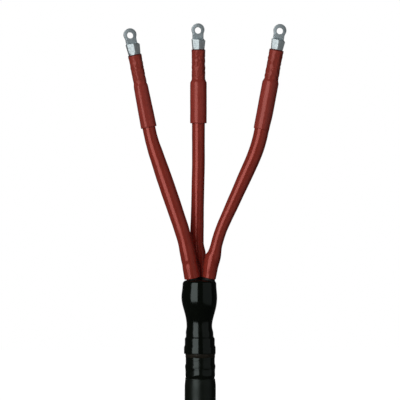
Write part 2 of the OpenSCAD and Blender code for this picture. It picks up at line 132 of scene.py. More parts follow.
class Tail:
    """Route of one core, straight runs and true bends, walked by the distance s from the cut end."""

    def __init__(self, name, lay, run, lean, heading, bend, build, swell_a, swell, sleeve, lug_turn):
        self.name = name
        self.build = build
        self.swell_a = radians(swell_a)
        self.swell = swell
        self.sleeve = sleeve
        self.heading = radians(heading[-1])
        self.lug_turn = radians(lug_turn)
        point = LAY_R * Vector((cos(radians(lay)), sin(radians(lay)), 0))
        way = Vector((0, 0, 1))
        s = 0
        self.stretches = []
        starts = []
        for k, length in enumerate(run):
            starts.append((s, point, way))
            self.stretches.append((s, point, way, None, 0))
            s += length
            point = point + length * way
            if k < len(bend):
                tilt, turn = radians(lean[k]), radians(heading[k])
                new_way = Vector((sin(tilt) * cos(turn), sin(tilt) * sin(turn), cos(tilt)))
                axis = way.cross(new_way).normalized()
                self.stretches.append((s, point, way, axis, bend[k]))
                s += bend[k] * way.angle(new_way)
                point = point + bend[k] * (axis.cross(way) - axis.cross(new_way))
                way = new_way
        s1, p1, d1 = starts[1]
        self.foot = s1 + (BOOT_TOP + FOOT_GAP - p1[2]) / d1[2]
        self.finger = self.foot + FINGER_LEN
        self.screen = starts[2][0] + COPPER_BARE + SCREEN_BARE
        self.barrel = s - HOLE_Z
        self.strip = self.barrel - STRIP_GAP
        self.tube_top_r = self.tube_r(self.strip)

    def at(self, s):
        """Place and direction at s."""
        start, point, way, axis, radius = [t for t in self.stretches if t[0] <= s or t[0] == 0][-1]
        if axis is None:
            return point + (s - start) * way, way
        turned = Matrix.Rotation((s - start) / radius, 3, axis) @ way
        return point + radius * (axis.cross(way) - axis.cross(turned)), turned

    def section(self, s):
        """Place at s, the direction there and the two axes across it."""
        point, way = self.at(s)
        x = Vector((0, 1, 0)).cross(way).normalized()
        return point, way, x, way.cross(x)

    def ring(self, s, radius, count):
        """Round section at s; radius is a length or a function of the angle."""
        point, _, x, y = self.section(s)
        return circle(point, x, y, radius, count)

    def tube_r(self, s):
        """Outer radius of the red tube at s."""
        return INSULATION_R + eased(self.build, s - self.foot)

    def lug_matrix(self):
        """Place of the lug: Z along the barrel from its mouth, -Y the front of the palm."""
        point, way = self.at(self.barrel)
        turn = Matrix.Rotation(self.heading, 4, "Z") @ Matrix.Rotation(acos(way[2]), 4, "Y")
        return Matrix.Translation(point) @ turn @ Matrix.Rotation(self.lug_turn - self.heading, 4, "Z")


# A tail has the angle of its core in the cable, the lengths of its straight runs, and the lean, heading
# and radius of each bend. The build is the wall of the red tube on the insulation along the tube. The
# tube swells over the boot's finger, on the side of swell_a.
TAILS = [
    Tail(
        name="left", lay=210, run=[226, 50, 148.5, 191.5],
        lean=[11.6, 19, 11.2], heading=[205, 172, 172], bend=[200, 390, 330],
        build=[
            (0, 7), (20, 6.8), (30, 6.1), (38, 6.6), (49, 6.5), (75, 5.5), (105, 6.2), (175, 6.8),
            (210, 6.6), (258, 5.6), (285, 4.6), (300, 4.1),
        ],
        swell_a=0, swell=[(0, 0)],
        sleeve=Sleeve(
            low=-83.2, high=64.3, low_r=16.0, shoulder_r=14.5, barrel_r=13.3,
            ridge_a=-114, ridge_h=1.2, tuck=0,
        ),
        lug_turn=10,
    ),
    Tail(
        name="centre", lay=90, run=[195, 92, 140, 264],
        lean=[8.5, 2.5, 0], heading=[110, 300, 300], bend=[200, 200, 300],
        build=[
            (0, 4.2), (30, 4.8), (46, 6.2), (72, 5), (100, 4.6), (126, 4.1), (150, 3.9), (200, 3.9),
            (290, 4),
        ],
        swell_a=0, swell=[(0, 0.8), (30, 2.4), (48, 2.6), (72, 0)],
        sleeve=Sleeve(
            low=-81.5, high=66.5, low_r=16.7, shoulder_r=16.7, barrel_r=13.5,
            ridge_a=-97, ridge_h=0.3, tuck=0,
        ),
        lug_turn=6,
    ),
    Tail(
        name="right", lay=330, run=[210, 80, 130, 201],
        lean=[13, 24.5, 10.7], heading=[340, 6, 6], bend=[200, 230, 290],
        build=[
            (0, 4.4), (21, 4.0), (44, 5), (68, 2.8), (100, 2.8), (120, 3.2), (172, 4.2), (230, 5.3),
            (285, 5.7),
        ],
        swell_a=180, swell=[(0, 0.2), (26, 3.8), (42, 3.4), (54, 0)],
        sleeve=Sleeve(
            low=-95.5, high=66.5, low_r=16.6, shoulder_r=16.6, barrel_r=14.1,
            ridge_a=-82, ridge_h=0.9, tuck=1.7,
        ),
        lug_turn=4,
    ),
]


# Meshes

def circle(centre, x, y, radius, count):
    """Ring about a point in the plane of the axes x and y."""
    points = []
    for a in turns(count):
        r = valued(radius, a)
        points.append(centre + r * cos(a) * x + r * sin(a) * y)
    return points


def flat_ring(z, radius, count, shift=0):
    """Ring about the cable axis; z and radius are lengths or functions of the angle."""
    points = []
    for a in turns(count):
        r = valued(radius, a)
        points.append(Vector((shift + r * cos(a), r * sin(a), valued(z, a))))
    return points


def placed(name, data):
    """New object in the scene."""
    made = bpy.data.objects.new(name, data)
    bpy.context.scene.collection.objects.link(made)
    return made


def skin(name, rings, looped, sharp=35):
    """Mesh object from rings joined in order; a ring of one point is a pole."""
    points, faces, first = [], [], []
    for points_here in rings:
        first.append(len(points))
        points += points_here
    last = len(rings) - 1
    steps = [(k, k + 1) for k in range(last)] + ([(last, 0)] if looped else [])
    for a, b in steps:
        na, nb = len(rings[a]), len(rings[b])
        n = max(na, nb)
        for j in range(n):
            i = (j + 1) % n
            if na == 1:
                faces.append((first[a], first[b] + j, first[b] + i))
            elif nb == 1:
                faces.append((first[a] + j, first[a] + i, first[b]))
            else:
                faces.append((first[a] + j, first[a] + i, first[b] + i, first[b] + j))
    mesh = bpy.data.meshes.new(name)
    mesh.from_pydata([p * MM for p in points], [], faces)
    work = bmesh.new()
    work.from_mesh(mesh)
    bmesh.ops.recalc_face_normals(work, faces=work.faces)
    work.to_mesh(mesh)
    work.free()
    mesh.polygons.foreach_set("use_smooth", [True] * len(mesh.polygons))
    mesh.set_sharp_from_angle(angle=radians(sharp))
    return placed(name, mesh)


def joined(name, parts):
    """One object made of several meshes."""
    work = bmesh.new()
    for part in parts:
        work.from_mesh(part.data)
        bpy.data.objects.remove(part)
    mesh = bpy.data.meshes.new(name)
    work.to_mesh(mesh)
    work.free()
    return placed(name, mesh)


# Materials

def node(tree, kind, inputs=None, **settings):
    """New shader node; an input is a value or the socket that it is linked to."""
    made = tree.nodes.new(kind)
    for key, value in settings.items():
        setattr(made, key, value)
    for key, value in (inputs or {}).items():
        if isinstance(value, bpy.types.NodeSocket):
            tree.links.new(value, made.inputs[key])
        else:
            made.inputs[key].default_value = value
    return made


def colour(tone):
    """Linear colour of a display colour given as 0 to 255."""
    def linear(v):
        v = v / 255
        return v / 12.92 if v <= 0.04045 else ((v + 0.055) / 1.055) ** 2.4
    return (*(linear(v) for v in tone), 1)


def shader(slot):
    """Plain material for a slot of the record, with its nodes ready to link."""
    made = bpy.data.materials.new(slot)
    made["slot"] = slot
    made.use_nodes = True
    tree = made.node_tree
    tree.nodes.clear()
    surface = node(tree, "ShaderNodeBsdfPrincipled")
    output = node(tree, "ShaderNodeOutputMaterial")
    tree.links.new(surface.outputs["BSDF"], output.inputs["Surface"])
    place = node(tree, "ShaderNodeTexCoord").outputs["Object"]
    return made, tree, surface, place


def noise_at(tree, place, scale, detail, stretch=(1, 1, 1)):
    spot = node(tree, "ShaderNodeMapping", {"Vector": place, "Scale": stretch}).outputs["Vector"]
    return node(
        tree, "ShaderNodeTexNoise", {"Vector": spot, "Scale": scale, "Detail": detail}
    ).outputs["Fac"]


def ranged(tree, value, low, high, start=0.3, end=0.7):
    """Value between low and high while the input goes from start to end."""
    return node(
        tree, "ShaderNodeMapRange",
        {"Value": value, "From Min": start, "From Max": end, "To Min": low, "To Max": high},
    ).outputs["Result"]


def blended(tree, share, first, second):
    """Colour between two colours; the mix node keeps its colour sockets at 6 and 7, its result at 2."""
    return node(tree, "ShaderNodeMix", {0: share, 6: first, 7: second}, data_type="RGBA").outputs[2]


def calculated(tree, operation, first, second):
    return node(tree, "ShaderNodeMath", {0: first, 1: second}, operation=operation).outputs["Value"]


def polymer(slot, tones, rough, grain=0.05, wave=0.1, speck=None, ior=1.5, tint=(1, 1, 1, 1)):
    """Shrunk or moulded polymer: two tones in patches, a third in streaks, grain and uneven gloss."""
    made, tree, surface, place = shader(slot)
    surface.inputs["IOR"].default_value = ior
    surface.inputs["Specular Tint"].default_value = tint
    first, second, third = [colour(tone) for tone in tones]
    patches = noise_at(tree, place, scale=45, detail=3)
    streaks = noise_at(tree, place, scale=420, detail=3, stretch=(1, 1, 0.12))
    fine = noise_at(tree, place, scale=1500, detail=2)
    base = blended(tree, ranged(tree, patches, 0, 1), first, second)
    base = blended(tree, ranged(tree, streaks, 0, 0.25, start=0.45, end=0.75), base, third)
    if speck:
        dots = noise_at(tree, place, scale=900, detail=1)
        base = blended(tree, ranged(tree, dots, 0, 0.5, start=0.68, end=0.76), base, colour(speck))
    tree.links.new(base, surface.inputs["Base Color"])
    tree.links.new(ranged(tree, patches, rough - 0.04, rough + 0.05), surface.inputs["Roughness"])
    waves = noise_at(tree, place, scale=60, detail=2)
    big = node(tree, "ShaderNodeBump", {"Strength": wave, "Distance": 0.002, "Height": waves})
    small = node(
        tree, "ShaderNodeBump",
        {"Strength": grain, "Distance": 0.0003, "Height": fine, "Normal": big.outputs["Normal"]},
    )
    tree.links.new(small.outputs["Normal"], surface.inputs["Normal"])
    return made


def metal(slot, tones, rough, grain=0.2):
    """Bare or tinned metal with mottled tone and gloss."""
    made, tree, surface, place = shader(slot)
    first, second, third = [colour(tone) for tone in tones]
    cloud = noise_at(tree, place, scale=125, detail=4)
    fine = noise_at(tree, place, scale=500, detail=4)
    base = blended(tree, ranged(tree, cloud, 0, 1), first, second)
    base = blended(tree, ranged(tree, fine, 0, 0.4, start=0.45, end=0.7), base, third)
    surface.inputs["Metallic"].default_value = 1
    tree.links.new(base, surface.inputs["Base Color"])
    tree.links.new(ranged(tree, fine, rough - 0.08, rough + 0.1), surface.inputs["Roughness"])
    bump = node(tree, "ShaderNodeBump", {"Strength": grain, "Distance": 0.0004, "Height": fine})
    tree.links.new(bump.outputs["Normal"], surface.inputs["Normal"])
    return made


def strands(slot, tones, wire):
    """Stranded conductor: round wire ends, with painted shade in the gaps between them."""
    made, tree, surface, place = shader(slot)
    first, second, gap = [colour(tone) for tone in tones]
    cells = node(
        tree, "ShaderNodeTexVoronoi", {"Vector": place, "Scale": 1 / (wire * MM), "Randomness": 0.25},
        voronoi_dimensions="2D",
    ).outputs["Distance"]
    worn = noise_at(tree, place, scale=700, detail=3)
    base = blended(tree, ranged(tree, worn, 0, 1), first, second)
    # The dark gap tone is painted shade in the voids between the wires.
    base = blended(tree, ranged(tree, cells, 0, 0.9, start=0.42, end=0.6), base, gap)
    surface.inputs["Metallic"].default_value = 1
    tree.links.new(base, surface.inputs["Base Color"])
    tree.links.new(ranged(tree, worn, 0.3, 0.5), surface.inputs["Roughness"])
    bump = node(
        tree, "ShaderNodeBump", {"Strength": 0.6, "Distance": 0.0005, "Height": cells}, invert=True
    )
    tree.links.new(bump.outputs["Normal"], surface.inputs["Normal"])
    return made


TUBE_TINT = (1, 0.33, 0.29, 1)
SLEEVE_LOOK = {"ior": 1.75, "tint": (1, 0.42, 0.38, 1)}
BLACK_TINT = (0.86, 1, 0.97, 1)
MATERIALS = {
    "red_tube": polymer(
        "red_tube", [(173, 62, 49), (183, 68, 54), (156, 53, 41)], 0.19,
        grain=0.03, wave=0.03, ior=2.0, tint=TUBE_TINT,
    ),
    "breakout_boot": polymer(
        "boot_black", [(10, 14, 8), (14, 18, 11), (7, 10, 6)], 0.14,
        grain=0.03, wave=0.03, tint=BLACK_TINT,
    ),
    "binding_tape": polymer(
        "black_tape", [(13, 17, 11), (18, 22, 15), (9, 12, 7)], 0.2,
        grain=0.08, wave=0.06, tint=BLACK_TINT,
    ),
    "oversheath": polymer(
        "black_sheath", [(16, 20, 13), (21, 25, 17), (12, 15, 9)], 0.37,
        grain=0.2, wave=0.06, speck=(40, 44, 37), tint=BLACK_TINT,
    ),
    "armour_wires": metal("armour_steel", [(150, 154, 156), (178, 182, 184), (120, 122, 122)], 0.4),
    "bedding": polymer("black_bedding", [(28, 29, 28), (36, 37, 35), (22, 23, 22)], 0.5, grain=0.2),
    "core_filler": polymer(
        "pale_filler", [(188, 182, 164), (204, 198, 182), (170, 163, 142)], 0.6, grain=0.4
    ),
    "boot_fingers": polymer("boot_black", [(10, 13, 9), (14, 17, 12), (7, 9, 6)], 0.6, grain=0.2),
    "boot_mastic": polymer("grey_mastic", [(60, 50, 40), (74, 62, 50), (46, 38, 30)], 0.4, grain=0.3),
    "rim_smear": polymer("grey_mastic", [(34, 32, 24), (52, 46, 35), (26, 24, 18)], 0.4, grain=0.3),
    "conductor": strands("copper", [(196, 126, 86), (216, 148, 106), (70, 38, 22)], wire=1.75),
    "insulation": polymer(
        "natural_insulation", [(226, 223, 212), (236, 234, 225), (214, 209, 195)], 0.35, grain=0.1
    ),
    "core_screen": polymer("black_screen", [(26, 26, 27), (34, 34, 35), (20, 20, 21)], 0.45, grain=0.2),
    "copper_tape": metal("copper_tape", [(200, 122, 82), (222, 150, 108), (150, 84, 52)], 0.3),
    "stress_tube": polymer("stress_black", [(24, 24, 26), (30, 30, 32), (18, 18, 20)], 0.4, grain=0.15),
    "lug_mastic": polymer("red_mastic", [(120, 40, 32), (136, 50, 40), (100, 32, 26)], 0.5, grain=0.3),
    "lug_sleeve": polymer(
        "red_sleeve", [(184, 73, 62), (194, 79, 68), (168, 64, 54)], 0.24,
        grain=0.08, wave=0.04, **SLEEVE_LOOK,
    ),
    # Second finish of the sleeves, on the barrel: rougher, and its tones are darker than the lower
    # sleeve's, which is painted shade.
    "lug_sleeve_top": polymer(
        "red_sleeve", [(176, 70, 58), (186, 75, 63), (158, 60, 50)], 0.34,
        grain=0.12, wave=0.08, **SLEEVE_LOOK,
    ),
    # The bead's red is darker than the same sealant in the sleeve: painted shade where the sleeve meets
    # the barrel.
    "sleeve_bead": polymer("red_mastic", [(104, 34, 30), (120, 42, 36), (84, 26, 22)], 0.5, grain=0.2),
    "lug": metal("tinned_metal", [(228, 240, 243), (236, 246, 248), (214, 227, 231)], 0.56, grain=0.15),
    # The palm's copy of the tinned metal is darker than the barrel's: painted shade on the palm, which
    # is the same metal.
    "lug_palm": metal(
        "tinned_metal", [(206, 219, 223), (222, 234, 238), (182, 196, 201)], 0.56, grain=0.3
    ),
}


def dressed(piece, kind, stands_for=None):
    """Gives a piece its material, slot and body, and hides the CAD node that it stands for."""
    piece.data.materials.clear()
    piece.data.materials.append(MATERIALS[kind])
    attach(piece, "root")
    if stands_for:
        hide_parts(stands_for)
    return piece


for name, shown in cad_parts.items():
    kind = name
    for tail_here in TAILS:
        kind = kind.removesuffix("_" + tail_here.name)
    shown.data.materials.clear()
    shown.data.materials.append(MATERIALS[kind])


# Red tubes

TUBE_SIDES = 72
TUBE_STEP = 2.5
TUBE_RIM = 0.9
TUBE_WAVE, TUBE_SEED = (0.16, 24), 10
TUBE_GRAIN, TUBE_GRAIN_SEED = (0.06, 9), 7


def tube_inside(tail_here, s):
    """Bore of a red tube at s over the finger, the core, the stress tube and the insulation."""
    if s <= tail_here.finger:
        return FINGER_R
    if s <= tail_here.screen - STRESS_BELOW:
        return CORE_R + BEND_SEAM
    return STRESS_R if s <= tail_here.screen + STRESS_ABOVE else INSULATION_R + BEND_SEAM


def red_tube(tail_here, seed):
    def outside(s, drop=0.0):
        point = tail_here.at(s)[0]
        base = tail_here.tube_r(s)
        swelling = eased(tail_here.swell, s - tail_here.foot)

        def radius(a):
            spot = point + base * Vector((cos(a), sin(a), 0))
            swollen = base + swelling * (1 + cos(a - tail_here.swell_a)) / 2
            uneven = ripple(spot, TUBE_WAVE, seed) + ripple(spot, TUBE_GRAIN, seed + TUBE_GRAIN_SEED)
            return swollen + uneven - drop
        return tail_here.ring(s, radius, TUBE_SIDES)

    low, high = tail_here.foot, tail_here.strip
    rings = [outside(low + TUBE_RIM * up, TUBE_RIM * drop) for drop, up in EDGE_ROUND]
    rings += [outside(s) for s in spread(low + 2 * TUBE_RIM, high, TUBE_STEP)]
    for s in reversed(spread(low, high, 2 * TUBE_STEP)):
        rings.append(tail_here.ring(s, tube_inside(tail_here, s), TUBE_SIDES))
    return skin("red_tube_" + tail_here.name, rings, looped=True)


# Sleeves over the lug barrels, with heights above the mouth of the barrel

SLEEVE_SIDES = 96
SLEEVE_STEP = 1.6
SLEEVE_EDGE = 0.9
SLEEVE_ROUND = [(1, 0), (0.45, 0.12), (0.1, 0.5)]
FOOT_ROUND, TOP_ROUND = 2.2, 1
SLEEVE_WAVE, SLEEVE_SEED = (0.16, 20), 30
SLEEVE_LEAST = BARREL_R + 0.4
SLEEVE_SEAT = 0.02
SHOULDER = (-1, 8)
LIP_LOW, LIP_HIGH, LIP_H = 8, 2, 0.5
CRIMP_D, CRIMP_CORNER = 0.55, 0.45
LUMP_LEAST, LUMP, LUMP_SIZE, LUMP_SEED = 0.06, 0.85, 5, 3
RIDGE_W = 0.4
TUCK_LEN = 36
BEAD_H = 2
BEAD_SIDES = 12
BEAD_WAVE, BEAD_SEED = (0.12, 6), 50


def sleeve_radius(tail_here, z, seed):
    """Outer radius of a sleeve at height z, as a function of the angle."""
    sleeve = tail_here.sleeve
    low, high = sleeve.low, sleeve.high
    wide = sleeve.low_r + (sleeve.shoulder_r - sleeve.low_r) * min(1, (z - low) / (SHOULDER[0] - low))
    on_barrel = eased([(SHOULDER[0], 0), (SHOULDER[1], 1)], z)
    lip = eased([(high - LIP_LOW, 0), (high - LIP_HIGH, 1)], z)
    crimp = on_barrel * (1 - lip) * (1 - cos(2 * pi * z / CRIMP_PITCH)) / 2
    base = wide + (sleeve.barrel_r - wide) * on_barrel + LIP_H * lip - CRIMP_D * crimp
    point = tail_here.at(tail_here.barrel + z)[0]
    ridge = sleeve.ridge_h * (1 - on_barrel)
    tuck = sleeve.tuck * eased([(low, 1), (low + TUCK_LEN, 0)], z)
    lumps = (LUMP_LEAST + LUMP * on_barrel * (1 - lip), LUMP_SIZE)

    def radius(a):
        spot = point + base * Vector((cos(a), sin(a), 0))
        pressed = CRIMP_CORNER * crimp * cos(6 * (a - tail_here.lug_turn))
        aside = (a - radians(sleeve.ridge_a) + pi) % (2 * pi) - pi
        folded = ridge * exp(-(aside / RIDGE_W) ** 2) - tuck * (1 + cos(a)) / 2
        uneven = ripple(spot, SLEEVE_WAVE, seed) + ripple(spot, lumps, seed + LUMP_SEED)
        return max(SLEEVE_LEAST, base + pressed + folded + uneven)
    return radius


def lug_sleeve(tail_here, seed):
    low, high = tail_here.sleeve.low, tail_here.sleeve.high - BEAD_H
    rings = []

    def add(z, drop=0.0):
        wall = sleeve_radius(tail_here, z, seed)
        rings.append(tail_here.ring(tail_here.barrel + z, lambda a: wall(a) - drop, SLEEVE_SIDES))

    edge = [(drop * SLEEVE_EDGE, up * SLEEVE_EDGE) for drop, up in SLEEVE_ROUND]
    for drop, up in edge:
        add(low + FOOT_ROUND * up, drop)
    for z in spread(low + FOOT_ROUND * SLEEVE_EDGE, high - TOP_ROUND * SLEEVE_EDGE, SLEEVE_STEP):
        add(z)
    for drop, up in reversed(edge):
        add(high - TOP_ROUND * up, drop)
    tube_r = tail_here.tube_top_r
    for z, r in [(high, BARREL_R), (0, BARREL_R), (0, tube_r), (low, tube_r)]:
        rings.append(tail_here.ring(tail_here.barrel + z, r + SLEEVE_SEAT, SLEEVE_SIDES))
    return skin("lug_sleeve_" + tail_here.name, rings, looped=True)


def sleeve_bead(tail_here, seed):
    """Sealant squeezed out at the upper end of a sleeve, in a darker red than the sealant inside:
    painted shade along the sleeve's top edge.
    """
    sleeve = tail_here.sleeve
    point, way, x, y = tail_here.section(tail_here.barrel + sleeve.high - BEAD_H / 2)
    rings = []
    for a in turns(SLEEVE_SIDES):
        out = cos(a) * x + sin(a) * y
        half = (sleeve.barrel_r + LIP_H - BARREL_R) / 2 + ripple(point + BARREL_R * out, BEAD_WAVE, seed)
        centre = point + (BARREL_R + half) * out
        rings.append(circle(centre, half * out, BEAD_H / 2 * way, 1, BEAD_SIDES))
    return skin("sleeve_bead_" + tail_here.name, rings, looped=True)


def rough_shaded_top(sleeve, tail_here):
    """Gives the part of a sleeve on the barrel the second material of its mesh, rougher and in darker
    tones that paint shade on the upper sleeve.
    """
    mouth, way = tail_here.at(tail_here.barrel)
    sleeve.data.materials.append(MATERIALS["lug_sleeve_top"])
    for face in sleeve.data.polygons:
        face.material_index = int((face.center / MM - mouth).dot(way) > SHOULDER[1])


# Boot

BOOT_SIDES = 120
BOOT_STEP, BORE_STEP = 1.5, 4
BOOT_WAVE, BOOT_SEED = (0.12, 26), 40
BOOT_WAVE_FROM = 6
RIM_R = TAPE_R + BOOT_WALL
RIM_ROUND = [(0.8, 0), (0.25, 0.2)]
RIM_EDGE = 0.8
WAIST_Z = 177
BULGE_Z, BULGE_R = 235.5, 35.9
CROWN_Z, CROWN_R = 262, 33.9
SHOULDER_H, SHOULDER_D = 8, 9
SHOULDER_RINGS = 12
BORE_LOW, BORE_HIGH = 166, 258
BOOT_LINE = [
    (BOOT_RIM, RIM_R), (TAPE_TOP + 1, RIM_R), (TAPE_TOP + 7, ARMOUR_R + BOOT_WALL),
    (ARMOUR_TOP - 1, ARMOUR_R + BOOT_WALL), (ARMOUR_TOP + 5, BEDDING_R + BOOT_WALL),
    (BEDDING_TOP, BEDDING_R + BOOT_WALL), (WAIST_Z, FILLER_R + BOOT_WALL),
    (BULGE_Z, BULGE_R), (CROWN_Z, CROWN_R),
]
# Height and distance of the boot's middle to the right of the cable axis
BOOT_SHIFT = [(150, 0), (WAIST_Z, -0.9), (205, -0.2), (237, -1.0), (BOOT_TOP, -0.6)]
FINGER_ROOT = 3.5
FINGER_STEP = 1.5
FINGER_PLAY = 0.05
FLARE, FLARE_LEN, FLARE_LOW = 2.2, 1.6, 1


def breakout_boot():
    profile = [(RIM_R - drop, BOOT_RIM + up) for drop, up in RIM_ROUND]
    profile += [(eased(BOOT_LINE, z), z) for z in spread(BOOT_RIM + RIM_EDGE, CROWN_Z, BOOT_STEP)]
    for k in range(1, SHOULDER_RINGS + 1):
        a = pi / 2 * k / SHOULDER_RINGS
        profile.append((CROWN_R - SHOULDER_D + SHOULDER_D * cos(a), CROWN_Z + SHOULDER_H * sin(a)))
    inner = [
        (TAPE_R, BOOT_RIM), (TAPE_R, TAPE_TOP), (ARMOUR_R, TAPE_TOP), (ARMOUR_R, ARMOUR_TOP),
        (BEDDING_R, ARMOUR_TOP), (BEDDING_R, BEDDING_TOP),
    ]
    inner += [(eased(BOOT_LINE, z) - BOOT_WALL, z) for z in spread(BORE_LOW, BORE_HIGH, BORE_STEP)]
    top_shift = BOOT_SHIFT[-1][1]
    rings = [[Vector((top_shift, 0, BOOT_TOP))]]
    for r, z in reversed(profile):
        def wall(a):
            spot = Vector((r * cos(a), r * sin(a), z))
            return r + ripple(spot, BOOT_WAVE, BOOT_SEED) * min(1, (z - BOOT_RIM) / BOOT_WAVE_FROM)
        rings.append(flat_ring(z, wall, BOOT_SIDES, eased(BOOT_SHIFT, z)))
    for r, z in inner:
        rings.append(flat_ring(z, r, BOOT_SIDES, eased(BOOT_SHIFT, z)))
    rings.append([Vector((top_shift, 0, BOOT_TOP - BOOT_WALL))])
    return skin("breakout_boot", rings, looped=False)


def boot_fingers():
    parts = []
    for tail_here in TAILS:
        root = tail_here.foot - FOOT_GAP - FINGER_ROOT
        rings = []
        for s in spread(root, tail_here.finger, FINGER_STEP):
            above = s - tail_here.foot + FOOT_GAP
            flare = FLARE * exp(-max(0, above + FLARE_LOW) / FLARE_LEN)
            rings.append(tail_here.ring(s, FINGER_R - FINGER_PLAY + flare, TUBE_SIDES))
        for s in (tail_here.finger, root):
            rings.append(tail_here.ring(s, CORE_R + BEND_SEAM, TUBE_SIDES))
        parts.append(skin("finger", rings, looped=True))
    return joined("boot_fingers", parts)


# Tape and oversheath

SHEATH_SIDES = 128
CUT_SLOPE_X, CUT_SLOPE_Y = -0.0524, 0.0525
# Distance of the tape and oversheath to the right of the cable axis
OFF_AXIS = 0.9
# Height and thickness of the tape, then height and depth of the folds in it
TAPE_LINE = [
    (72, 1.0), (81, 2.7), (86, 2.55), (91, 2.6), (98, 3.0), (104, TAPE_T), (TAPE_TOP, TAPE_T)
]
TAPE_FOLD = [(78, 0), (82, 0.4), (90, 0.4), (94, 0)]
FOLD_N, FOLD_A = 6, radians(-107)
TAPE_STEP = 0.5
TAPE_SEAT = 0.05
TAPE_PLAY = 0.1
TAPE_PITCH = 19
LAP_H, LAP_RISE, LAP_FALL = 0.18, 0.05, 0.75
TAPE_WAVE, TAPE_SEED = (0.15, 14), 60
# Inside the boot the tape is even; its unevenness starts so far below the rim and grows over so much
UNEVEN_BELOW, UNEVEN_GROWS = 1, 2
SHEATH_TAPER, SHEATH_TAPER_LEN = 1.2, 16
SHEATH_WAVE, SHEATH_SEED = (0.12, 22), 80
# Lowest full ring of the oversheath and the step to the next, as shares of its height
SHEATH_FIRST, SHEATH_STEP = 0.006, 0.025
END_EDGE = 0.4
CUT_EDGE = [(0.1, 0.5), (0.35, 0.15), (0.8, 0)]
SMEAR_SIDES = 160
SMEAR_T, SMEAR_T_WAVE, SMEAR_T_SEED = 0.9, (0.3, 6), 90
SMEAR_H, SMEAR_H_WAVE, SMEAR_H_SEED = 7, (1.5, 11), 95


def cut_z(a, r):
    """Height of the tilted cut of the oversheath."""
    return SHEATH_TOP + CUT_SLOPE_X * r * cos(a) + CUT_SLOPE_Y * r * sin(a)


def binding_tape():
    def bottom(a):
        return cut_z(a, TAPE_R) + TAPE_SEAT

    def outside(t):
        def height(a):
            return bottom(a) + (TAPE_TOP - bottom(a)) * t

        def radius(a):
            z = height(a)
            lap = (z / TAPE_PITCH - a / (2 * pi)) % 1
            edge = LAP_H * min(lap / LAP_RISE, 1) * (1 - LAP_FALL * lap)
            spot = Vector((TAPE_R * cos(a), TAPE_R * sin(a), z))
            uneven = edge + ripple(spot, TAPE_WAVE, TAPE_SEED) + OFF_AXIS * cos(a)
            shown = min(1, max(0, (BOOT_RIM - UNEVEN_BELOW - z) / UNEVEN_GROWS))
            fold = eased(TAPE_FOLD, z) * sin(FOLD_N * (a - FOLD_A))
            return ARMOUR_R + eased(TAPE_LINE, z) + fold + shown * uneven - TAPE_PLAY
        return flat_ring(height, radius, SHEATH_SIDES)

    rings = [outside(t) for t in spread(0, 1, TAPE_STEP / (TAPE_TOP - SHEATH_TOP))]
    rings += [flat_ring(z, ARMOUR_R, SHEATH_SIDES) for z in (TAPE_TOP, bottom)]
    return skin("binding_tape", rings, looped=True)


def oversheath():
    taper = [(SHEATH_TOP - SHEATH_TAPER_LEN, SHEATH_R), (SHEATH_TOP, SHEATH_R - SHEATH_TAPER)]

    def outside(t, drop=0.0, back=0.0):
        def height(a):
            return t * (cut_z(a, SHEATH_R) - back)

        def radius(a):
            z = height(a)
            spot = Vector((SHEATH_R * cos(a), SHEATH_R * sin(a), z))
            return eased(taper, z) - drop + ripple(spot, SHEATH_WAVE, SHEATH_SEED) + OFF_AXIS * cos(a)
        return flat_ring(height, radius, SHEATH_SIDES)

    rings = [flat_ring(0, ARMOUR_R, SHEATH_SIDES), outside(0, END_EDGE)]
    rings += [outside(t) for t in spread(SHEATH_FIRST, 1, SHEATH_STEP)[:-1]]
    rings += [outside(1, drop, back) for drop, back in CUT_EDGE]
    rings.append(flat_ring(lambda a: cut_z(a, ARMOUR_R), ARMOUR_R, SHEATH_SIDES))
    return skin("oversheath", rings, looped=True)


def rim_smear():
    """Sealant squeezed out under the rim of the boot and smeared down the tape."""
    rings = []
    for a in turns(SMEAR_SIDES):
        way = Vector((cos(a), sin(a), 0))
        spot = TAPE_R * way
        thick = SMEAR_T + ripple(spot, SMEAR_T_WAVE, SMEAR_T_SEED)
        tall = SMEAR_H + ripple(spot, SMEAR_H_WAVE, SMEAR_H_SEED)
        # distance from the tape and height against the rim
        section = [
            (-0.5, 0.1), (thick, 0.1), (thick, -0.8), (0.5 * thick, -0.3 * tall), (0.35, -tall),
            (-0.5, -tall - 0.6),
        ]
        middle = TAPE_R + OFF_AXIS * cos(a)
        rings.append([(middle + out) * way + Vector((0, 0, BOOT_RIM + up)) for out, up in section])
    return skin("rim_smear", rings, looped=True, sharp=60)


# Lugs

LUG_SIDES = 144
LUG_LOW = 40
BARREL_END = BARREL_LEN - 0.1
PRESS_R = 13.5
PRESS_ROUND = 40
PRESS_LEAD = 1.5
PRESS_STEP = 0.2
PRESS_WIDEN, WIDEN_FROM = 3.4, 3
PRESS_TILT = 0.105
CREASE_EDGE = [(0.1, 0.1), (0.4, 0)]
CREASE_LOW = 0.4
NECK_W = 22
NECK_SINK = 0.5
NECK_BLEND = 1.2
HEAD_R, HEAD_RISE = 12.9, 1.2
PALM_SIDES = 168
PALM_EDGE = 0.7
HOLE_EDGE = 0.4


def hexagon(a):
    """Distance from the axis to a hexagon with rounded corners, one of them at the front."""
    flats = sum(max(0, cos(a - k * pi / 3)) ** PRESS_ROUND for k in range(6))
    return PRESS_R * cos(pi / 6) * flats ** (-1 / PRESS_ROUND)


def lug_ring(z, shape, tilt=0.0):
    points = []
    for a in turns(LUG_SIDES):
        x, y = shape(a)
        points.append(Vector((x, y, z - tilt * PRESS_TILT * x)))
    return points


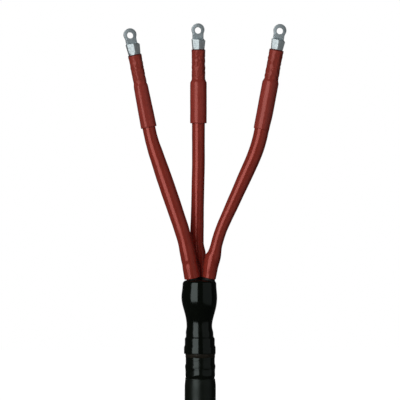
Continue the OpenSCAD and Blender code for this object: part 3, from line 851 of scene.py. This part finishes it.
def lug_body():
    """Round barrel with an end pressed to a hexagon that widens upward and slopes back to the palm."""
    def barrel(a):
        return BARREL_R * cos(a), BARREL_R * sin(a)

    def pressed(widen, inset=0.0):
        def shape(a):
            x, y = (hexagon(a) - inset) * cos(a), (hexagon(a) - inset) * sin(a)
            return x + widen / 2 * max(-1, min(1, x / WIDEN_FROM)), min(y, BARREL_R - inset)
        return shape

    def foot(a):
        half_w, half_d = NECK_W / 2, (BARREL_R - PALM_FRONT) / 2
        r = min(half_w / max(abs(cos(a)), TINY), half_d / max(abs(sin(a)), TINY))
        return r * cos(a), BARREL_R - half_d + r * sin(a)

    low, high = BARREL_LEN + PRESS_LEAD, CREASE_Z - CREASE_LOW
    rings = [[Vector((0, 0, LUG_LOW))], lug_ring(LUG_LOW, barrel), lug_ring(BARREL_END, barrel)]
    for t in spread(0, 1, PRESS_STEP):
        rings.append(lug_ring(low + t * (high - low), pressed(t * PRESS_WIDEN), t))
    for inset, down in CREASE_EDGE:
        rings.append(lug_ring(CREASE_Z - down, pressed(PRESS_WIDEN, inset), 1))
    rings += [lug_ring(PALM_Z, foot), [Vector((0, PALM_BACK - PALM_T / 2, PALM_Z))]]
    return skin("lug_body", rings, looped=False, sharp=40)


def palm_outline(a):
    """Distance from the hole's middle to the edge of the palm; the angle runs from straight down."""
    side = NECK_W / 2 / max(abs(sin(a)), TINY)
    bottom = (HOLE_Z - PALM_Z + NECK_SINK) / max(cos(a), TINY)
    neck = min(side, bottom) if cos(a) > 0 else 0
    head = -HEAD_RISE * cos(a) + (HEAD_R ** 2 - (HEAD_RISE * sin(a)) ** 2) ** 0.5
    apart = abs(neck - head)
    return max(neck, head) + (max(0, NECK_BLEND - apart) ** 2) / (4 * NECK_BLEND)


def palm():
    def loop(y, reach):
        points = []
        for a in turns(PALM_SIDES):
            r = reach(a)
            points.append(Vector((r * sin(a), PALM_FRONT + y, HOLE_Z - r * cos(a))))
        return points

    edge = [(inset * PALM_EDGE, y * PALM_EDGE) for inset, y in EDGE_ROUND]
    edge += [(inset, PALM_T - y) for inset, y in reversed(edge)]
    rings = [loop(y, lambda a: palm_outline(a) - inset) for inset, y in edge]
    bore = [(PALM_T, HOLE_EDGE), (PALM_T - HOLE_EDGE, 0), (HOLE_EDGE, 0), (0, HOLE_EDGE)]
    rings += [loop(y, lambda a: HOLE_R + grow) for y, grow in bore]
    return skin("palm", rings, looped=True, sharp=30)


def on_lug(tail_here, name, part):
    """Sets a part made in the frame of the lug in its place on a tail."""
    place = tail_here.lug_matrix()
    place.translation = place.translation * MM
    part.data.transform(place)
    part.name = name + "_" + tail_here.name
    return part


SEED_STEP = 5
for k, tail_here in enumerate(TAILS):
    seed = SEED_STEP * k
    tube, sleeve, lug = [kind + tail_here.name for kind in ("red_tube_", "lug_sleeve_", "lug_")]
    dressed(red_tube(tail_here, TUBE_SEED + seed), "red_tube", tube)
    rough_shaded_top(dressed(lug_sleeve(tail_here, SLEEVE_SEED + seed), "lug_sleeve", sleeve), tail_here)
    dressed(sleeve_bead(tail_here, BEAD_SEED + seed), "sleeve_bead", sleeve)
    dressed(on_lug(tail_here, "lug", lug_body()), "lug", lug)
    # The palm gets the darker copy of the tinned metal: painted shade.
    dressed(on_lug(tail_here, "lug_palm", palm()), "lug_palm", lug)
dressed(breakout_boot(), "breakout_boot", "breakout_boot")
dressed(boot_fingers(), "boot_fingers", "breakout_boot")
dressed(binding_tape(), "binding_tape", "binding_tape")
dressed(oversheath(), "oversheath", "oversheath")
dressed(rim_smear(), "rim_smear")


# Stage, light and camera, in metres

CAMERA_REACH = 7.0
CAMERA_X, CAMERA_Z = 0.0004, 0.43
VIEW_HALF = 0.4
ROOM = 0.025
BACKDROP = (0.93, 0.98)
FLOOR = 3.0
FLOOR_TONES = (0.43, 0.43, 0.43, 1), (0.46, 0.46, 0.46, 1)
# Glow of the floor for the camera beside the cable, and where it fades to white
FLOOR_GLOW, FLOOR_FADE = 0.86, (0.3, 1.2)
WHITE = (1, 1, 1, 1)


def camera():
    lens = bpy.data.cameras.new("camera")
    lens.sensor_fit = "HORIZONTAL"
    lens.angle = 2 * atan(VIEW_HALF / CAMERA_REACH)
    made = placed("camera", lens)
    made.location = (CAMERA_X, -CAMERA_REACH, CAMERA_Z)
    made.rotation_euler = (pi / 2, 0, 0)
    bpy.context.scene.camera = made


def panel(name, azimuth, reach, size, low, radiance):
    """Upright soft panel that faces the cable; azimuth is from the camera's side, left positive."""
    lamp = bpy.data.lights.new(name, "AREA")
    lamp.shape = "RECTANGLE"
    lamp.size, lamp.size_y = size
    lamp.energy = radiance * pi * size[0] * size[1]
    made = placed(name, lamp)
    a = radians(azimuth)
    made.location = (-reach * sin(a), -reach * cos(a), low + size[1] / 2)
    made.rotation_euler = (pi / 2, 0, -a)
    made.visible_camera = False
    return made


def surroundings():
    """Dim room, white for the camera and for mirrored rays that meet the backdrop behind the cable."""
    world = bpy.data.worlds.new("surroundings")
    world.use_nodes = True
    tree = world.node_tree
    tree.nodes.clear()
    path = node(tree, "ShaderNodeLightPath").outputs
    mirrored = calculated(tree, "MAXIMUM", path["Is Glossy Ray"], path["Is Transmission Ray"])
    way = node(tree, "ShaderNodeTexCoord").outputs["Generated"]
    behind = node(tree, "ShaderNodeSeparateXYZ", {"Vector": way}).outputs["Y"]
    backdrop = ranged(tree, behind, 0, 1, *BACKDROP)
    shown = calculated(tree, "MULTIPLY", mirrored, backdrop)
    white = calculated(tree, "MAXIMUM", path["Is Camera Ray"], shown)
    strength = ranged(tree, white, ROOM, 1, start=0, end=1)
    sky = node(tree, "ShaderNodeBackground", {"Color": WHITE, "Strength": strength})
    output = node(tree, "ShaderNodeOutputWorld")
    tree.links.new(sky.outputs["Background"], output.inputs["Surface"])
    bpy.context.scene.world = world


def floor_plane():
    """Pale floor that keeps the shadow near the cable and fades to the white of the background."""
    mesh = bpy.data.meshes.new("floor")
    corners = [(x * FLOOR, y * FLOOR, 0) for x, y in ((-1, -1), (1, -1), (1, 1), (-1, 1))]
    mesh.from_pydata(corners, [], [(0, 1, 2, 3)])
    made = placed("floor", mesh)
    finish, tree, surface, place = shader("floor_white")
    clouds = noise_at(tree, place, scale=3, detail=2)
    tone = blended(tree, ranged(tree, clouds, 0, 1), *FLOOR_TONES)
    tree.links.new(tone, surface.inputs["Base Color"])
    surface.inputs["Roughness"].default_value = 0.9
    surface.inputs["Emission Color"].default_value = WHITE
    reach = node(tree, "ShaderNodeVectorMath", {0: place}, operation="LENGTH").outputs["Value"]
    glow = ranged(tree, reach, FLOOR_GLOW, 1, *FLOOR_FADE)
    seen = node(tree, "ShaderNodeLightPath").outputs["Is Camera Ray"]
    tree.links.new(calculated(tree, "MULTIPLY", seen, glow), surface.inputs["Emission Strength"])
    mesh.materials.append(finish)
    made.visible_glossy = False


camera()
panel("softbox", azimuth=34, reach=3.0, size=(2.4, 3.66), low=-0.58, radiance=2.0)
panel("fill", azimuth=-55, reach=1.6, size=(2.0, 2.0), low=-0.3, radiance=0.17)
panel("back", azimuth=180, reach=1.6, size=(1.5, 2.0), low=-0.3, radiance=0.9).visible_glossy = False
surroundings()
floor_plane()
bpy.context.scene.view_settings.view_transform = "Standard"
